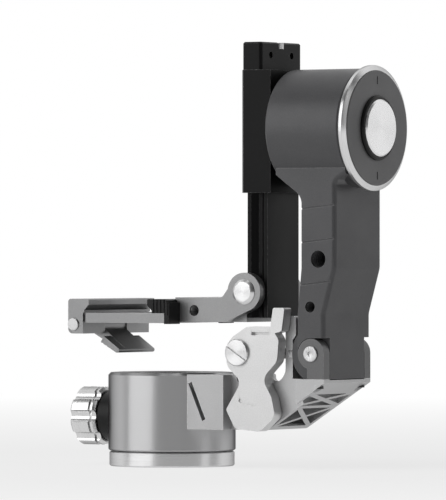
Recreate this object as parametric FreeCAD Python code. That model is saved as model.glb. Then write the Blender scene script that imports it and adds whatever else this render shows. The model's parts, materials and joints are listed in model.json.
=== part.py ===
import FreeCAD, Part
import math
import os

Vector = FreeCAD.Vector

# Gimbal tripod head with a folding arm. Millimetres, +Z up.
# The origin is on the pan axis at the underside of the base plate.
# +X points from the pan axis to the main arm, and the lens looks along -Y.

# Fits: radial clearance of running pairs, of pressed seats, and the gap between moving pieces.
running = 0.05
seat = 0.02
gap = 0.3
edge_break = 0.6

# Fixed foot
base_height = 7.0
socket_bore = 4.0
socket_depth = 12.0
socket_radius = 7.0
socket_length = 14.0
foot_radius = 14.0
foot_depth = 3.0
spindle_radius = 11.0
spindle_neck = 6.0
bearing_inner = 15.5
bearing_outer = 25.0
bearing_height = 2.6
spindle_screw_ring = 9.2
spindle_screw_radius = 1.5
spindle_screw_head = 2.1

# Turning base
pan_radius = 30.0
base_radius = pan_radius - 0.5
pan_top = 44.0
pan_skirt = 0.4
cap_radius = 24.0
cap_thickness = 3.0
nut_radius = 15.0
nut_height = 4.2
nut_headroom = 2.0
thread_rise = 1.0
washer_height = 0.8
nut_shelf = pan_top - cap_thickness - nut_headroom - thread_rise - nut_height - washer_height
knob_height = 23.0
stud_radius = 4.0
collar_radius = 12.0
collar_length = 5.0
pan_knob_radius = 14.0
pan_knob_length = 14.0
pan_knob_lobes = 8

# Arm hinge: the pin's place sets the bracket's far end and the foot of the arm.
hinge_x = 90.0
hinge_z = 53.7
hinge_pin_radius = 3.0
hinge_nut_height = 1.6
ear_radius = 7.0
ear_inner = 15.3
drum_radius = 13.6
drum_shoulder = 10.0
foot_half_width = ear_inner - gap
bush_radius = 5.0
bush_length = 6.0
arm_inner = hinge_x - ear_radius
tip_x = hinge_x + ear_radius

# Root bracket
bracket_half_width = 20.5
bracket_bottom = 18.0
bracket_deck = hinge_z - drum_radius - 0.1
heel_end = 62.0
ear_seat = bracket_deck + 2.0
tip_thickness = 1.8
tip_bottom = ear_seat - tip_thickness
deck_run = 15.0
deck_step = pan_radius + deck_run
bracket_root = 10.0
plate_thickness = 3.9
plate_inner = arm_inner - 11.0
plate_outer = plate_inner + plate_thickness
plate_head = plate_outer + 1.7
plate_head_start = hinge_z + 8.3
plate_top = hinge_z + 17.3
slot_half_length = 9.5
slot_lean = 24.0
slot_x = 27.4
slot_z = 31.0
recess_start = 42.0
recess_depth = 6.8
rib_width = 2.2
rib_pocket_depth = 6.0
wall = 2.5

# Screws through the bracket: four into the pan housing, one up into each hinge ear
bracket_screw_radius = 2.5
bracket_screw_head = 4.25
bracket_screw_head_height = 5.0
bracket_screw_head_x = deck_step - 1.0
bracket_screw_start = pan_radius - 8.0
ear_screw_radius = 1.5
ear_screw_head = 2.5
ear_screw_head_height = 1.8
ear_screw_head_top = ear_seat - 2.6
ear_screw_tip = ear_seat + 6.0

# Lock lever and its slotted pin; the lever's sizes are taken from its pin
lever_x = 50.0
lever_z = hinge_z + 0.3
barrel_radius = 8.0
lever_pin_radius = 4.0
lever_pin_head = 6.2
lever_pin_head_height = 1.6
lever_head_left = 6.5
lever_head_right = 22.5
lever_head_rise = 12.0
lever_waist_drop = 13.5
lever_waist_left = 2.0
lever_waist_right = 13.5
lever_pad_left = 6.4
lever_pad_right = 20.5
lever_pad_drop = 29.5
lever_bottom_drop = 36.6
lever_nose_left = 16.5
lever_nose_right = 25.6
lever_nose_rise = 20.8
cam_radius = 7.0
cam_lobe = 1.2
plunger_y = -10.0
plunger_radius = 2.5
shoe_radius = 4.0
shoe_depth = 1.6

# Main arm
arm_upper_inner = hinge_x - 5.0
arm_upper_outer = hinge_x + 13.0
arm_knee_low = 72.0
arm_knee_high = 93.0
arm_corner = 2.0
tilt_z = 157.7
housing_radius = 27.5
housing_wall = 8.5
housing_outer = arm_upper_outer + 6.0
flare = 7.0
large_hole = 4.0
large_hole_x = hinge_x + 4.0
large_hole_z = 97.3
small_hole = 2.6
small_hole_x = hinge_x - 0.4
small_hole_z = 75.3
side_hole_depth = 12.0
side_line_heights = (121.0, 105.5, 86.0)
side_line_width = 0.8
side_line_depth = 0.5

# Tilt axle and knob
axle_radius = 8.0
axle_flange = 2.3
axle_end_radius = 5.0
tilt_bearing_radius = housing_radius - housing_wall
axle_flange_radius = tilt_bearing_radius + 1.0
tilt_bearing_width = 9.0
bearing_shoulder = axle_radius + 2.0
axle_nut_radius = 12.0
axle_nut_width = 3.5
disc_radius = housing_radius + 1.5
disc_thickness = 3.8
disc_rim = 2.5
drag_washer = 0.6
bezel_radius = 15.0
medallion_radius = bezel_radius - 1.8
medallion_rise = 2.5
bezel_rise = 1.6

# Height rail and its clamp
rail_front = 51.0
rail_thickness = 11.0
rail_back = rail_front + rail_thickness
rail_half_width = 13.5
rail_groove = 2.7
rail_bottom = 70.0
rail_top = 185.0
slide_gap = 0.1
clamp_front = rail_front - 1.0
clamp_back = rail_back + 4.4
clamp_half_width = 18.0
clamp_bottom = 128.0
flange_screw_ring = rail_half_width + 0.5
flange_end = clamp_back + axle_flange
housing_inner = flange_end + gap
inner_bearing_start = housing_inner + 1.0
outer_bearing_start = housing_outer - tilt_bearing_width - 9.0
stop_cap_height = 13.0
stop_cap_half_width = 17.5
height_knob_radius = 7.4
height_knob_length = 16.0
height_stud_radius = 3.0

# Folding platform and dovetail clamp
fold_x = 52.0
fold_z = 82.0
knuckle_radius = 8.0
fold_pin_radius = 3.0
fold_ear_radius = 9.0
fold_ear_thickness = 4.6
fold_head_radius = 6.0
bar_start = 14.0
bar_bottom = 68.0
bar_top = 79.4
bar_hole_x = 24.5
bar_hole_z = 73.3
bar_hole_radius = 2.6
bar_hole_depth = 8.0
dovetail_x = -12.0
dovetail_half_width = 19.1
dovetail_lip = 2.6
dovetail_floor = 72.0
jaw_top = 78.6
bed_half_length = 28.0
bed_bottom = 67.4
fixed_jaw_back = 15.0
moving_jaw_width = 9.0
jaw_rib_pitch = 2.0
jaw_rib_count = 5
guide_radius = 2.0
guide_y = 20.0
guide_z = (bed_bottom + dovetail_floor) / 2 - 0.2
guide_length = 20.0
bed_left = dovetail_x - dovetail_half_width - 0.5
bed_screw_y = 12.0
bed_screw_z = (bed_bottom + dovetail_floor) / 2 + 0.3
bed_screw_radius = 2.0
bed_screw_head = 3.4
bed_screw_head_height = 3.0
bed_screw_seat = bar_start - 10.0
bed_screw_tip = bar_start + 6.0
flip_x = -37.0
flip_z = 66.6
flip_pin_radius = 2.0
flip_cam_radius = 4.6
flip_half_width = 9.0
flip_length = 20.5
flip_angle = 31.0


def rod(axis, radius, start, end, first, second):
    """Round bar along X, Y or Z from start to end; first and second are its other two coordinates."""
    if axis == "X":
        origin, along = Vector(start, first, second), Vector(1, 0, 0)
    elif axis == "Y":
        origin, along = Vector(first, start, second), Vector(0, 1, 0)
    else:
        origin, along = Vector(first, second, start), Vector(0, 0, 1)
    return Part.makeCylinder(radius, end - start, origin, along)


def ring(axis, outer, inner, start, end, first, second):
    return rod(axis, outer, start, end, first, second).cut(rod(axis, inner, start - 1, end + 1, first, second))


def block(x0, x1, y0, y1, z0, z1):
    return Part.makeBox(x1 - x0, y1 - y0, z1 - z0, Vector(x0, y0, z0))


def rounded_face(corners):
    """Planar face through corners given as (point, radius); a radius above zero rounds that corner."""
    count = len(corners)
    edges = []
    previous_end = None
    first_start = None
    for index in range(count):
        point, radius = corners[index]
        before = corners[index - 1][0]
        after = corners[(index + 1) % count][0]
        if radius > 0:
            to_before = (before - point).normalize()
            to_after = (after - point).normalize()
            half = to_before.getAngle(to_after) / 2
            reach = radius / math.tan(half)
            start = point + to_before * reach
            end = point + to_after * reach
            bisector = (to_before + to_after).normalize()
            centre = point + bisector * (radius / math.sin(half))
            middle = centre - bisector * radius
            arc = Part.Arc(start, middle, end).toShape()
        else:
            start = end = point
            arc = None
        if previous_end is None:
            first_start = start
        elif (start - previous_end).Length > 1e-6:
            edges.append(Part.LineSegment(previous_end, start).toShape())
        if arc:
            edges.append(arc)
        previous_end = end
    if (first_start - previous_end).Length > 1e-6:
        edges.append(Part.LineSegment(previous_end, first_start).toShape())
    return Part.Face(Part.Wire(Part.__sortEdges__(edges)))


def side_profile(corners, y0, y1):
    """Solid with the outline corners (x, z, radius) seen from the side, from y0 to y1."""
    face = rounded_face([(Vector(x, y0, z), radius) for x, z, radius in corners])
    return face.extrude(Vector(0, y1 - y0, 0))


def top_profile(corners, z0, z1):
    """Solid with the outline corners (x, y, radius) seen from above, from z0 to z1."""
    face = rounded_face([(Vector(x, y, z0), radius) for x, y, radius in corners])
    return face.extrude(Vector(0, 0, z1 - z0))


def spun(axis, profile, first, second):
    """Solid of revolution: profile holds (distance along the axis, radius) pairs."""
    if axis == "X":
        points = [Vector(along, first, second + radius) for along, radius in profile]
        origin, direction = Vector(0, first, second), Vector(1, 0, 0)
    elif axis == "Y":
        points = [Vector(first, along, second + radius) for along, radius in profile]
        origin, direction = Vector(first, 0, second), Vector(0, 1, 0)
    else:
        points = [Vector(first + radius, second, along) for along, radius in profile]
        origin, direction = Vector(first, second, 0), Vector(0, 0, 1)
    face = Part.Face(Part.makePolygon(points + [points[0]]))
    return face.revolve(origin, direction, 360)


def chamfered_rod(axis, radius, start, end, first, second, size):
    return spun(axis, [(start, 0), (start, radius - size), (start + size, radius), (end - size, radius),
                       (end, radius - size), (end, 0)], first, second)


def ring_places(count, radius, start_degrees):
    turn = 2 * math.pi / count
    offset = math.radians(start_degrees)
    return [(radius * math.cos(offset + turn * i), radius * math.sin(offset + turn * i)) for i in range(count)]


def fuse_all(shapes):
    return shapes[0].multiFuse(shapes[1:]).removeSplitter() if len(shapes) > 1 else shapes[0]


def cut_all(shape, tools):
    return shape.cut(Part.makeCompound(tools)) if tools else shape


# Fixed foot: everything that stays with the tripod.

bearing_top = base_height + bearing_height
spindle_screw_top = base_height + 5.0
spindle_top = nut_shelf + washer_height + nut_height + thread_rise


def spindle_screw_tools(clearance):
    tools = []
    for x, y in ring_places(3, spindle_screw_ring, 90):
        head = Part.makeCone(spindle_screw_head + clearance, spindle_screw_radius + clearance,
                             spindle_screw_head - spindle_screw_radius, Vector(x, y, 0))
        tools.append(head.fuse(rod("Z", spindle_screw_radius + clearance, 0, spindle_screw_top + clearance, x, y)))
    return tools


def base_plate():
    plate = chamfered_rod("Z", base_radius, 0, base_height, 0, 0, edge_break)
    plate = plate.cut(rod("Z", socket_radius + seat, -1, base_height + 1, 0, 0))
    plate = plate.cut(rod("Z", foot_radius + seat, base_height - foot_depth, base_height + 1, 0, 0))
    relief = ring("Z", base_radius - 5, base_radius - 9, -1, 0.5, 0, 0)
    return cut_all(plate.cut(relief), spindle_screw_tools(seat))


def tripod_socket():
    insert = chamfered_rod("Z", socket_radius, 0, socket_length, 0, 0, 0.3)
    bore = rod("Z", socket_bore, -1, socket_depth, 0, 0)
    return insert.cut(bore)


def pan_spindle():
    profile = [(base_height - foot_depth, 0), (base_height - foot_depth, foot_radius),
               (base_height + 0.8, foot_radius), (base_height + 0.8, spindle_radius),
               (nut_shelf - 1, spindle_radius), (nut_shelf - 1, spindle_neck), (spindle_top, spindle_neck),
               (spindle_top, 0)]
    spindle = spun("Z", profile, 0, 0)
    spindle = spindle.cut(rod("Z", socket_radius + seat, 0, socket_length + seat, 0, 0))
    return cut_all(spindle, spindle_screw_tools(seat))


def spindle_screws():
    return Part.makeCompound(spindle_screw_tools(0))


def thrust_bearing():
    race = ring("Z", bearing_outer, bearing_inner, base_height, bearing_top, 0, 0)
    groove = Part.makeTorus((bearing_outer + bearing_inner) / 2, 0.8, Vector(0, 0, bearing_top))
    return race.cut(groove)


def slip_washer():
    return ring("Z", nut_radius + 1, spindle_neck + seat, nut_shelf, nut_shelf + washer_height, 0, 0)


def spindle_nut():
    bottom = nut_shelf + washer_height
    nut = chamfered_rod("Z", nut_radius, bottom, bottom + nut_height, 0, 0, edge_break)
    nut = nut.cut(rod("Z", spindle_neck + seat, bottom - 1, bottom + nut_height + 1, 0, 0))
    notches = [rod("Z", 1.5, bottom + 2, bottom + nut_height + 1, x, y) for x, y in ring_places(4, 11, 45)]
    return cut_all(nut, notches)


# Turning base

housing_bottom = base_height + pan_skirt
knob_seat_x = -(pan_radius + collar_length)
bracket_screw_heights = (26.0, 36.0)
bracket_screw_y = 9.0
bracket_screw_places = [(y, z) for z in bracket_screw_heights for y in (-bracket_screw_y, bracket_screw_y)]


def bracket_screw_tools(shank, head):
    head_start = bracket_screw_head_x - bracket_screw_head_height
    tools = []
    for y, z in bracket_screw_places:
        tools.append(rod("X", shank, bracket_screw_start - 2, bracket_screw_head_x, y, z))
        tools.append(rod("X", head, head_start, bracket_screw_head_x, y, z))
    return tools


def pan_housing():
    body = spun("Z", [(housing_bottom, 0), (housing_bottom, pan_radius - edge_break),
                      (housing_bottom + edge_break, pan_radius), (pan_top - 1.2, pan_radius),
                      (pan_top, pan_radius - 1.2), (pan_top, 0)], 0, 0)
    cuts = [rod("Z", bearing_outer + gap, 0, bearing_top, 0, 0),
            rod("Z", spindle_radius + running, 0, nut_shelf + 1, 0, 0),
            rod("Z", nut_radius + 2, nut_shelf, pan_top, 0, 0),
            rod("Z", cap_radius + seat, pan_top - cap_thickness, pan_top + 1, 0, 0),
            rod("X", stud_radius + running, -pan_radius - 1, 0, 0, knob_height)]
    cuts += bracket_screw_tools(bracket_screw_radius + seat, bracket_screw_radius + seat)
    return cut_all(body, cuts)


def pan_cap():
    cap = chamfered_rod("Z", cap_radius, pan_top - cap_thickness, pan_top, 0, 0, 0.4)
    holes = [rod("Z", 1.6, pan_top - 1.6, pan_top + 1, x, y) for x, y in ring_places(2, cap_radius - 6, 60)]
    dish = Part.makeCone(cap_radius - 11, cap_radius - 10, 0.6, Vector(0, 0, pan_top - 0.6))
    return cut_all(cap, holes + [dish])


def brake_shoe():
    shoe = rod("X", stud_radius - seat, -spindle_radius - 6, 0, 0, knob_height)
    return shoe.cut(rod("Z", spindle_radius + running, 0, pan_top, 0, 0))


def knob_collar():
    collar = chamfered_rod("X", collar_radius, knob_seat_x, -pan_radius + 4, 0, knob_height, edge_break)
    collar = collar.cut(rod("Z", pan_radius + seat, 0, pan_top, 0, 0))
    return collar.cut(rod("X", stud_radius + running, knob_seat_x - 1, 0, 0, knob_height))


slope_x, slope_z = tip_x - heel_end, tip_bottom - bracket_bottom
slope_length = math.hypot(slope_x, slope_z)


def slope_point(along, rise):
    """Point (x, z) at a distance along the ribbed slope and a rise square to it, into the bracket."""
    return (heel_end + (slope_x * along - slope_z * rise) / slope_length,
            bracket_bottom + (slope_z * along + slope_x * rise) / slope_length)


def slope_prism(corners, depth):
    """Prism over corners (distance along the slope, y), sunk square into the ribbed face."""
    points = []
    for along, y in corners:
        x, z = slope_point(along, -1)
        points.append(Vector(x, y, z))
    x0, z0 = slope_point(0, 0)
    x1, z1 = slope_point(0, depth + 1)
    face = Part.Face(Part.makePolygon(points + [points[0]]))
    return face.extrude(Vector(x1 - x0, 0, z1 - z0))


def crossed_pockets(start, end, y0, y1, depth):
    """Four triangular pockets between the two diagonal ribs of one bay."""
    half = rib_width / 2
    mid_along, mid_y = (start + end) / 2, (y0 + y1) / 2
    lean = math.atan2(end - start, y1 - y0)
    off_along, off_y = half / math.cos(lean), half / math.sin(lean)
    return [slope_prism([(start, y0 + off_y), (start, y1 - off_y), (mid_along - off_along, mid_y)], depth),
            slope_prism([(end, y0 + off_y), (end, y1 - off_y), (mid_along + off_along, mid_y)], depth),
            slope_prism([(start + off_along, y0), (end - off_along, y0), (mid_along, mid_y - off_y)], depth),
            slope_prism([(start + off_along, y1), (end - off_along, y1), (mid_along, mid_y + off_y)], depth)]


ear_screw_x = hinge_x + 2.5
ear_screw_y = (ear_inner + bracket_half_width) / 2
lever_face = bracket_half_width - recess_depth
boss_front = -lever_face + 6.5
boss_end = 1.0
web_half = lever_pin_head - 0.2


def ear_screw_tools(clearance, head_bottom):
    tools = []
    for y in (-ear_screw_y, ear_screw_y):
        tools.append(rod("Z", ear_screw_radius + clearance, head_bottom, ear_screw_tip + clearance, ear_screw_x, y))
        tools.append(rod("Z", ear_screw_head + clearance, head_bottom, ear_screw_head_top, ear_screw_x, y))
    return tools


def root_bracket():
    w = bracket_half_width
    shoulder = pan_top - 0.5
    outline = [(bracket_root, bracket_bottom, 0), (heel_end, bracket_bottom, 4), (tip_x, tip_bottom, 0),
               (tip_x, ear_seat, 0), (plate_outer, ear_seat, 0), (plate_outer, plate_head_start - 2, 0),
               (plate_head, plate_head_start, 0), (plate_head, plate_top, 1.5), (plate_inner, plate_top, 1.5),
               (plate_inner, bracket_deck, 7), (deck_step, bracket_deck, 2), (deck_step, shoulder, 1),
               (bracket_root, shoulder, 0)]
    body = side_profile(outline, -w, w)
    boss = rod("Y", barrel_radius, boss_front, boss_end, lever_x, lever_z)
    web = block(lever_x - web_half, lever_x + web_half, boss_front, boss_end, bracket_deck - 2, lever_z)
    body = fuse_all([body, boss, web])
    cuts = [rod("Z", pan_radius + seat, 0, pan_top, 0, 0),
            rod("Y", drum_radius + gap + 0.1, -ear_inner, ear_inner, hinge_x, hinge_z),
            block(recess_start, arm_inner - 1, -w - 1, -lever_face, 0, plate_top + 1),
            rod("Y", lever_pin_radius + seat, -w - 1, boss_end + 1, lever_x, lever_z),
            rod("Y", cam_radius + cam_lobe + gap, -w - 1, boss_front, lever_x, lever_z),
            rod("X", plunger_radius + running, plate_inner - 1, plate_outer + 1, plunger_y, hinge_z),
            rod("X", shoe_radius + running, plate_inner + shoe_depth, plate_outer + 1, plunger_y, hinge_z)]
    slot = block(-1, 1, -w - 1, -w + 6, -slot_half_length, slot_half_length)
    slot.rotate(Vector(0, 0, 0), Vector(0, 1, 0), -slot_lean)
    slot.translate(Vector(slot_x, 0, slot_z))
    cuts.append(slot)
    cuts += bracket_screw_tools(bracket_screw_radius + seat, bracket_screw_head + 0.1)
    cuts += crossed_pockets(slope_length * 0.072, slope_length * 0.459, -lever_face + wall, w - wall,
                            rib_pocket_depth)
    cuts += crossed_pockets(slope_length * 0.512, slope_length * 0.761, -w + wall, w - wall,
                            rib_pocket_depth * 0.35)
    cuts += ear_screw_tools(seat, bracket_deck - 10)
    pocket_x = (bracket_screw_head_x - bracket_screw_head_height, plate_inner - 6)
    pocket = top_profile([(pocket_x[0], -lever_face + wall, 2), (pocket_x[1], -lever_face + wall, 2),
                          (pocket_x[1], w - wall, 2), (pocket_x[0], w - wall, 2)], bracket_bottom + wall,
                         bracket_deck + 8)
    under_boss = block(lever_x - web_half, lever_x + web_half, -lever_face, boss_end, 0, bracket_deck)
    cuts.append(pocket.cut(fuse_all([boss, web, under_boss])))
    return cut_all(body, cuts)


def bracket_screws():
    head_start = bracket_screw_head_x - bracket_screw_head_height
    screws = []
    for y, z in bracket_screw_places:
        shank = rod("X", bracket_screw_radius, bracket_screw_start, head_start + 1, y, z)
        head = rod("X", bracket_screw_head, head_start, bracket_screw_head_x, y, z)
        key = rod("X", bracket_screw_head / 2, bracket_screw_head_x - 2.5, bracket_screw_head_x + 1, y, z)
        screws.append(fuse_all([shank, head]).cut(key))
    return Part.makeCompound(screws)


def hinge_ear(side):
    y0, y1 = sorted((side * ear_inner, side * bracket_half_width))
    eye = rod("Y", ear_radius, y0, y1, hinge_x, hinge_z)
    neck = block(hinge_x - 2, tip_x, y0, y1, ear_seat, hinge_z)
    ear = fuse_all([eye, neck])
    cuts = [rod("Y", hinge_pin_radius + seat, y0 - 1, y1 + 1, hinge_x, hinge_z)]
    return cut_all(ear, cuts + ear_screw_tools(seat, bracket_deck - 10))


def hinge_ears():
    return Part.makeCompound([hinge_ear(-1), hinge_ear(1)])


def ear_screws():
    pieces = ear_screw_tools(0, ear_screw_head_top - ear_screw_head_height)
    return Part.makeCompound([pieces[0].fuse(pieces[1]), pieces[2].fuse(pieces[3])])


def lever_pin():
    front = -bracket_half_width
    head = chamfered_rod("Y", lever_pin_head, front - lever_pin_head_height, front, lever_x, lever_z, 0.4)
    slot = block(-8, 8, front - lever_pin_head_height - 1, front - 0.7, -0.6, 0.6)
    slot.rotate(Vector(0, 0, 0), Vector(0, 1, 0), 32)
    slot.translate(Vector(lever_x, 0, lever_z))
    shank = rod("Y", lever_pin_radius, front - 0.1, boss_end, lever_x, lever_z)
    return fuse_all([head, shank]).cut(slot)


def hinge_pin():
    w = bracket_half_width
    shank = rod("Y", hinge_pin_radius, -w, w + hinge_nut_height, hinge_x, hinge_z)
    head = chamfered_rod("Y", hinge_pin_radius + 0.7, -w - 0.9, -w, hinge_x, hinge_z, 0.3)
    key = rod("Y", 1.2, -w - 2, -w - 0.2, hinge_x, hinge_z)
    return fuse_all([shank, head]).cut(key)


def hinge_nut():
    w = bracket_half_width
    nut = chamfered_rod("Y", hinge_pin_radius + 1.5, w, w + hinge_nut_height, hinge_x, hinge_z, 0.3)
    return nut.cut(rod("Y", hinge_pin_radius + seat, w - 1, w + 3, hinge_x, hinge_z))


cam_reach = lever_x + cam_radius + cam_lobe


def lock_plunger():
    shaft = rod("X", plunger_radius, cam_reach + 0.1, plate_inner + 2, plunger_y, hinge_z)
    shoe = rod("X", shoe_radius, plate_inner + shoe_depth + 0.2, hinge_x - drum_radius - 0.15, plunger_y, hinge_z)
    return fuse_all([shaft, shoe])


# Pan lock knob: lobed grip on a threaded stud, turning about X.

def lobed_knob(axis, radius, lobes, start, end, first, second, bore):
    grip = chamfered_rod(axis, radius, start, end, first, second, 1.2)
    scallop = radius * 0.22
    tools = []
    for u, v in ring_places(lobes, radius * 1.06, 0):
        tools.append(rod(axis, scallop, start - 1, end + 1, first + u, second + v))
    face = ring(axis, radius * 0.62, radius * 0.5, start - 1, start + 0.8, first, second)
    return cut_all(grip, tools + [face, rod(axis, bore, start + 3, end + 1, first, second)])


def pan_knob():
    end = knob_seat_x - gap
    grip = lobed_knob("X", pan_knob_radius, pan_knob_lobes, end - pan_knob_length, end, 0, knob_height,
                      stud_radius + seat)
    neck = ring("X", pan_knob_radius + 1, pan_knob_radius - 2.4, end - 3.6, end - 2.4, 0, knob_height)
    return grip.cut(neck)


def pan_knob_stud():
    end = knob_seat_x - gap
    return rod("X", stud_radius, end - pan_knob_length + 3, -spindle_radius - 6.1, 0, knob_height)


# Lock lever: hour-glass plate with the thumb pad below, the nose above and the cam behind.

def lock_lever():
    front, back = -bracket_half_width, -lever_face - 0.4
    head_left, head_right = lever_x - lever_head_left, lever_x + lever_head_right
    head_top = lever_z + lever_head_rise
    waist_z = lever_z - lever_waist_drop
    pad_left, pad_right = lever_x - lever_pad_left, lever_x + lever_pad_right
    pad_z, pad_bottom = lever_z - lever_pad_drop, lever_z - lever_bottom_drop
    nose_left, nose_right = lever_x + lever_nose_left, lever_x + lever_nose_right
    nose_top = lever_z + lever_nose_rise
    plate = side_profile([(pad_left, pad_z + 3, 1.5), (pad_left + 4.9, pad_bottom + 1.2, 3),
                          (pad_right - 8.5, pad_bottom, 4), (pad_right, pad_z, 4), (pad_right - 2, pad_z + 9, 3),
                          (lever_x + lever_waist_right, waist_z + 1.5, 5), (head_right - 1, lever_z - 4, 5),
                          (head_right, head_top - 6, 4), (head_right - 4.3, head_top, 1),
                          (lever_x + 5, head_top, 3), (head_left + 1.5, head_top - 6, 7),
                          (head_left, lever_z - 6, 6), (lever_x + lever_waist_left, waist_z, 4)], front, back)
    nose = side_profile([(nose_left, head_top - 4, 0), (nose_right - 1.6, head_top - 2, 1), (nose_right, nose_top, 1),
                         (nose_right - 6.2, nose_top, 1), (nose_left + 1.5, head_top, 0.8)], front, back)
    groove = side_profile([(pad_left + 6.4, pad_z + 6.5, 1), (pad_right - 10.5, pad_z + 4.5, 1),
                           (pad_right - 9.5, pad_z + 6.1, 0.5), (pad_left + 7.4, pad_z + 8.3, 0.5)],
                          front - 1, front + 0.7)
    cam = rod("Y", cam_radius, back - 0.2, boss_front - gap, lever_x, lever_z)
    lobe = rod("Y", cam_radius - 1, back - 0.2, boss_front - gap, lever_x + cam_lobe + 1, lever_z)
    shape = fuse_all([plate, nose, cam, lobe])
    window = side_profile([(lever_x + 7.5, head_top - 2.4, 0.6), (head_right - 4.9, head_top - 2.4, 0.6),
                           (head_right - 4.9, head_top - 4, 0.6), (lever_x + 7.5, head_top - 4, 0.6)], front - 1,
                          front + 2)
    bore = rod("Y", lever_pin_radius + running, front - 1, plunger_y + 4, lever_x, lever_z)
    return cut_all(shape, [groove, window, bore])


# Main arm: foot drum, side walls and cranked blade, with the tilt housing seated in its saddle.

def side_lines(y_face):
    lines = []
    for z in side_line_heights:
        line = block(arm_inner - 2, arm_upper_outer + 2, -side_line_depth, side_line_depth, -side_line_width / 2,
                     side_line_width / 2)
        line.rotate(Vector(hinge_x, 0, 0), Vector(0, 1, 0), -6)
        line.translate(Vector(0, y_face, z))
        lines.append(line)
    return lines


def arm_blade():
    w = bracket_half_width
    outline = [(arm_inner, ear_seat, 0), (tip_x, ear_seat, 0), (tip_x, arm_knee_low, 8),
               (arm_upper_outer, arm_knee_high, 8), (arm_upper_outer, tilt_z - housing_radius + 3, flare / 2),
               (housing_outer - 0.4, tilt_z - housing_radius + 6, 0), (housing_outer - 0.4, tilt_z, 0),
               (housing_inner + 2, tilt_z, 0), (housing_inner + 2, tilt_z - housing_radius + 6, 0),
               (arm_upper_inner, tilt_z - housing_radius - 4, flare), (arm_upper_inner, arm_knee_high, 8),
               (arm_inner, arm_knee_low, 8)]
    blade = side_profile(outline, -w, w)
    corners = [edge for edge in blade.Edges if len(edge.Vertexes) == 2
               and all(abs(abs(v.Y) - w) < 0.01 and v.X > tip_x - 0.01 and v.Z < tilt_z - housing_radius
                       for v in edge.Vertexes)]
    return blade.makeFillet(arm_corner, corners)


def housing_barrel(grow):
    return rod("X", housing_radius + grow, housing_inner - 1, housing_outer + 1, 0, tilt_z)


def main_arm():
    w = bracket_half_width
    drum = rod("Y", drum_radius, -foot_half_width, foot_half_width, hinge_x, hinge_z)
    drum = drum.common(block(hinge_x - drum_radius, tip_x, -w, w, 0, hinge_z + drum_shoulder))
    stop = block(plate_head + 0.1, arm_inner + 1, -12, 12, plate_head_start + 1, plate_top - 1)
    arm = fuse_all([arm_blade().cut(housing_barrel(seat)), drum, stop])
    cuts = [rod("Y", hinge_pin_radius + gap, -w, w, hinge_x, hinge_z),
            block(arm_upper_inner - 1, arm_upper_inner + 1.5, -w + 4, w - 4, arm_knee_high + 3,
                  tilt_z - housing_radius - 8)]
    for side in (-1, 1):
        y0, y1 = sorted((side * foot_half_width, side * (w + 1)))
        cuts.append(rod("Y", ear_radius + gap, y0, y1, hinge_x, hinge_z))
        cuts.append(block(hinge_x, tip_x + 1, y0, y1, hinge_z, hinge_z + ear_radius + gap))
        cuts.append(block(arm_inner - 1, tip_x + 1, y0, y1, ear_seat - 1, hinge_z))
        y0, y1 = sorted((side * (foot_half_width - bush_length), side * (foot_half_width + 1)))
        cuts.append(rod("Y", bush_radius + seat, y0, y1, hinge_x, hinge_z))
        y0, y1 = sorted((side * (w - side_hole_depth), side * (w + 1)))
        cuts.append(rod("Y", large_hole, y0, y1, large_hole_x, large_hole_z))
        cuts.append(rod("Y", small_hole, y0, y1, small_hole_x, small_hole_z))
        cuts += side_lines(side * w)
    return cut_all(arm, cuts)


def tilt_housing():
    housing = chamfered_rod("X", housing_radius, housing_inner, housing_outer, 0, tilt_z, 1.0)
    seat_radius = tilt_bearing_radius + seat
    return cut_all(housing, [
        rod("X", bearing_shoulder, housing_inner - 1, housing_outer + 1, 0, tilt_z),
        rod("X", seat_radius, housing_inner - 1, inner_bearing_start + tilt_bearing_width, 0, tilt_z),
        rod("X", seat_radius, outer_bearing_start, housing_outer + 1, 0, tilt_z)])


def hinge_bushes():
    bushes = []
    for side in (-1, 1):
        y0, y1 = sorted((side * (foot_half_width - bush_length), side * foot_half_width))
        bushes.append(ring("Y", bush_radius, hinge_pin_radius + running, y0, y1, hinge_x, hinge_z))
    return Part.makeCompound(bushes)


def tilt_bearing(start):
    end = start + tilt_bearing_width
    bearing = ring("X", tilt_bearing_radius, axle_radius + running, start, end, 0, tilt_z)
    middle = (tilt_bearing_radius + axle_radius) / 2
    lip = 1.0
    faces = [ring("X", middle + 2.2, middle - 2.2, start - 1, start + lip, 0, tilt_z),
             ring("X", middle + 2.2, middle - 2.2, end - lip, end + 1, 0, tilt_z)]
    return cut_all(bearing, faces)


# Swing: axle, rail clamp and the pieces on them.

axle_thread_end = housing_outer + drag_washer + 2.4


def flange_screw_tools(clearance):
    tools = []
    for u, v in ring_places(4, flange_screw_ring, 45):
        tools.append(rod("X", 2.0 + clearance, rail_back + 0.4, flange_end, u, tilt_z + v))
        tools.append(Part.makeCone(2.0 + clearance, 3.6 + clearance, 1.6,
                                   Vector(flange_end - 1.6, u, tilt_z + v), Vector(1, 0, 0)))
    return tools


def tilt_axle():
    nut_start = outer_bearing_start + tilt_bearing_width
    profile = [(clamp_back, 0), (clamp_back, axle_flange_radius), (flange_end, axle_flange_radius),
               (flange_end, axle_radius), (nut_start + 0.1, axle_radius), (nut_start + 0.1, axle_end_radius),
               (axle_thread_end, axle_end_radius), (axle_thread_end, 0)]
    return cut_all(spun("X", profile, 0, tilt_z), flange_screw_tools(seat))


def flange_screws():
    tools = flange_screw_tools(0)
    screws = []
    for index in range(0, len(tools), 2):
        x = flange_end
        key = rod("X", 1.2, x - 1.2, x + 1, tools[index + 1].CenterOfMass.y, tools[index + 1].CenterOfMass.z)
        screws.append(tools[index].fuse(tools[index + 1]).cut(key))
    return Part.makeCompound(screws)


def bearing_spacer():
    start = inner_bearing_start + tilt_bearing_width
    return ring("X", bearing_shoulder - gap, axle_radius + seat, start, outer_bearing_start, 0, tilt_z)


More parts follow.
